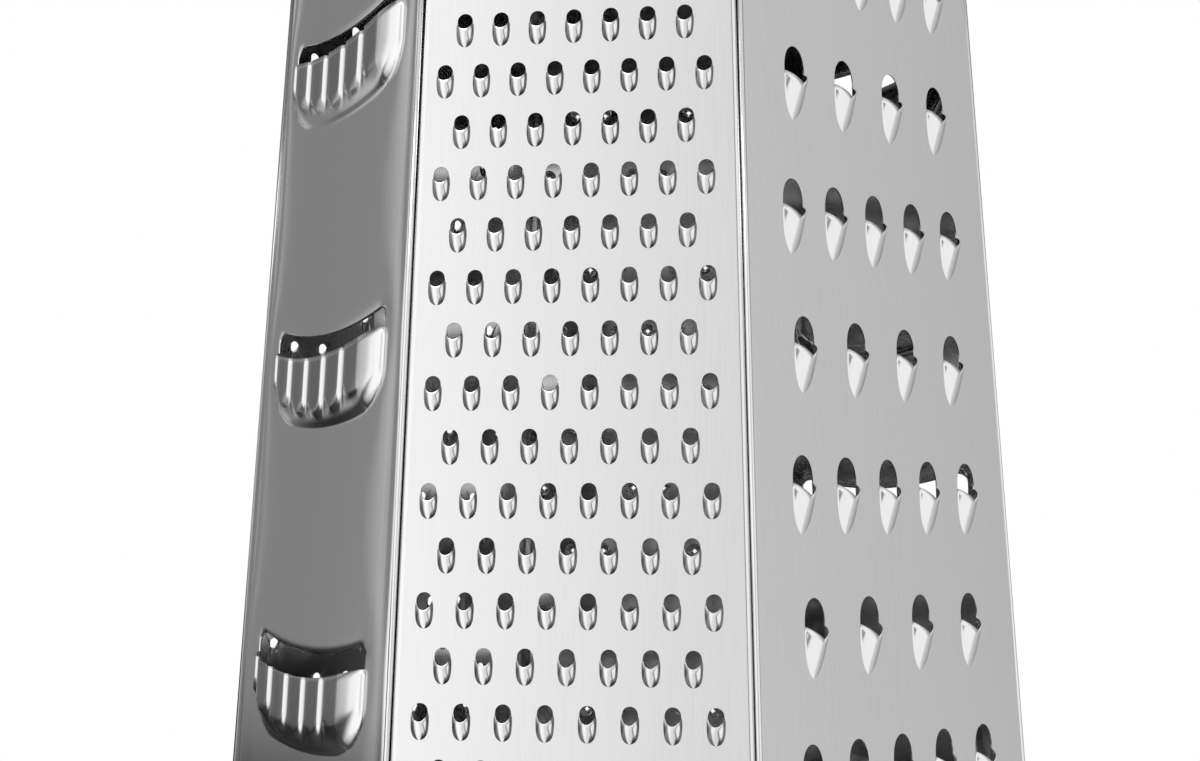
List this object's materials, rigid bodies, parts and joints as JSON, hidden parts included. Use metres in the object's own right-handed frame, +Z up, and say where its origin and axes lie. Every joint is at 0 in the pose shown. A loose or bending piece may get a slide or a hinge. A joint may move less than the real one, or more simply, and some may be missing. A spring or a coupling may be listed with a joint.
{
  "type": "box grater",
  "caption": "Tapered six-sided box grater in pressed steel, with a strap handle on its cap and a moulded base on rubber pads.",
  "frame": {"origin": "on the floor, under the middle of the grater", "axes": "+Z up through the handle, -Y out of the front panel with the medium teeth, +X to its right"},
  "size_m": [0.1536, 0.1118, 0.2657],
  "materials": {
    "panel_steel": "satin pressed stainless steel",
    "cap_steel": "fine brushed stainless steel",
    "strap_steel": "polished edge, satin flats",
    "fastener_steel": "bright",
    "grip_plastic": "fine grained soft-touch",
    "base_plastic": "fine grained",
    "pad_rubber": "matt"
  },
  "bodies": {
    "root": {"medium_shred_panel": "panel_steel", "coarse_shred_panel": "panel_steel", "plain_slicer_panel": "panel_steel", "star_rasp_panel": "panel_steel", "fine_shred_panel": "panel_steel", "wavy_slicer_panel": "panel_steel", "top_cap": "cap_steel", "handle_strap": "strap_steel", "handle_rivets": "fastener_steel", "backing_plates": "fastener_steel", "grip_upper": "grip_plastic", "grip_lower": "grip_plastic", "grip_screws": "fastener_steel", "base_ring": "base_plastic", "base_pads": "pad_rubber"}
  },
  "joints": []
}
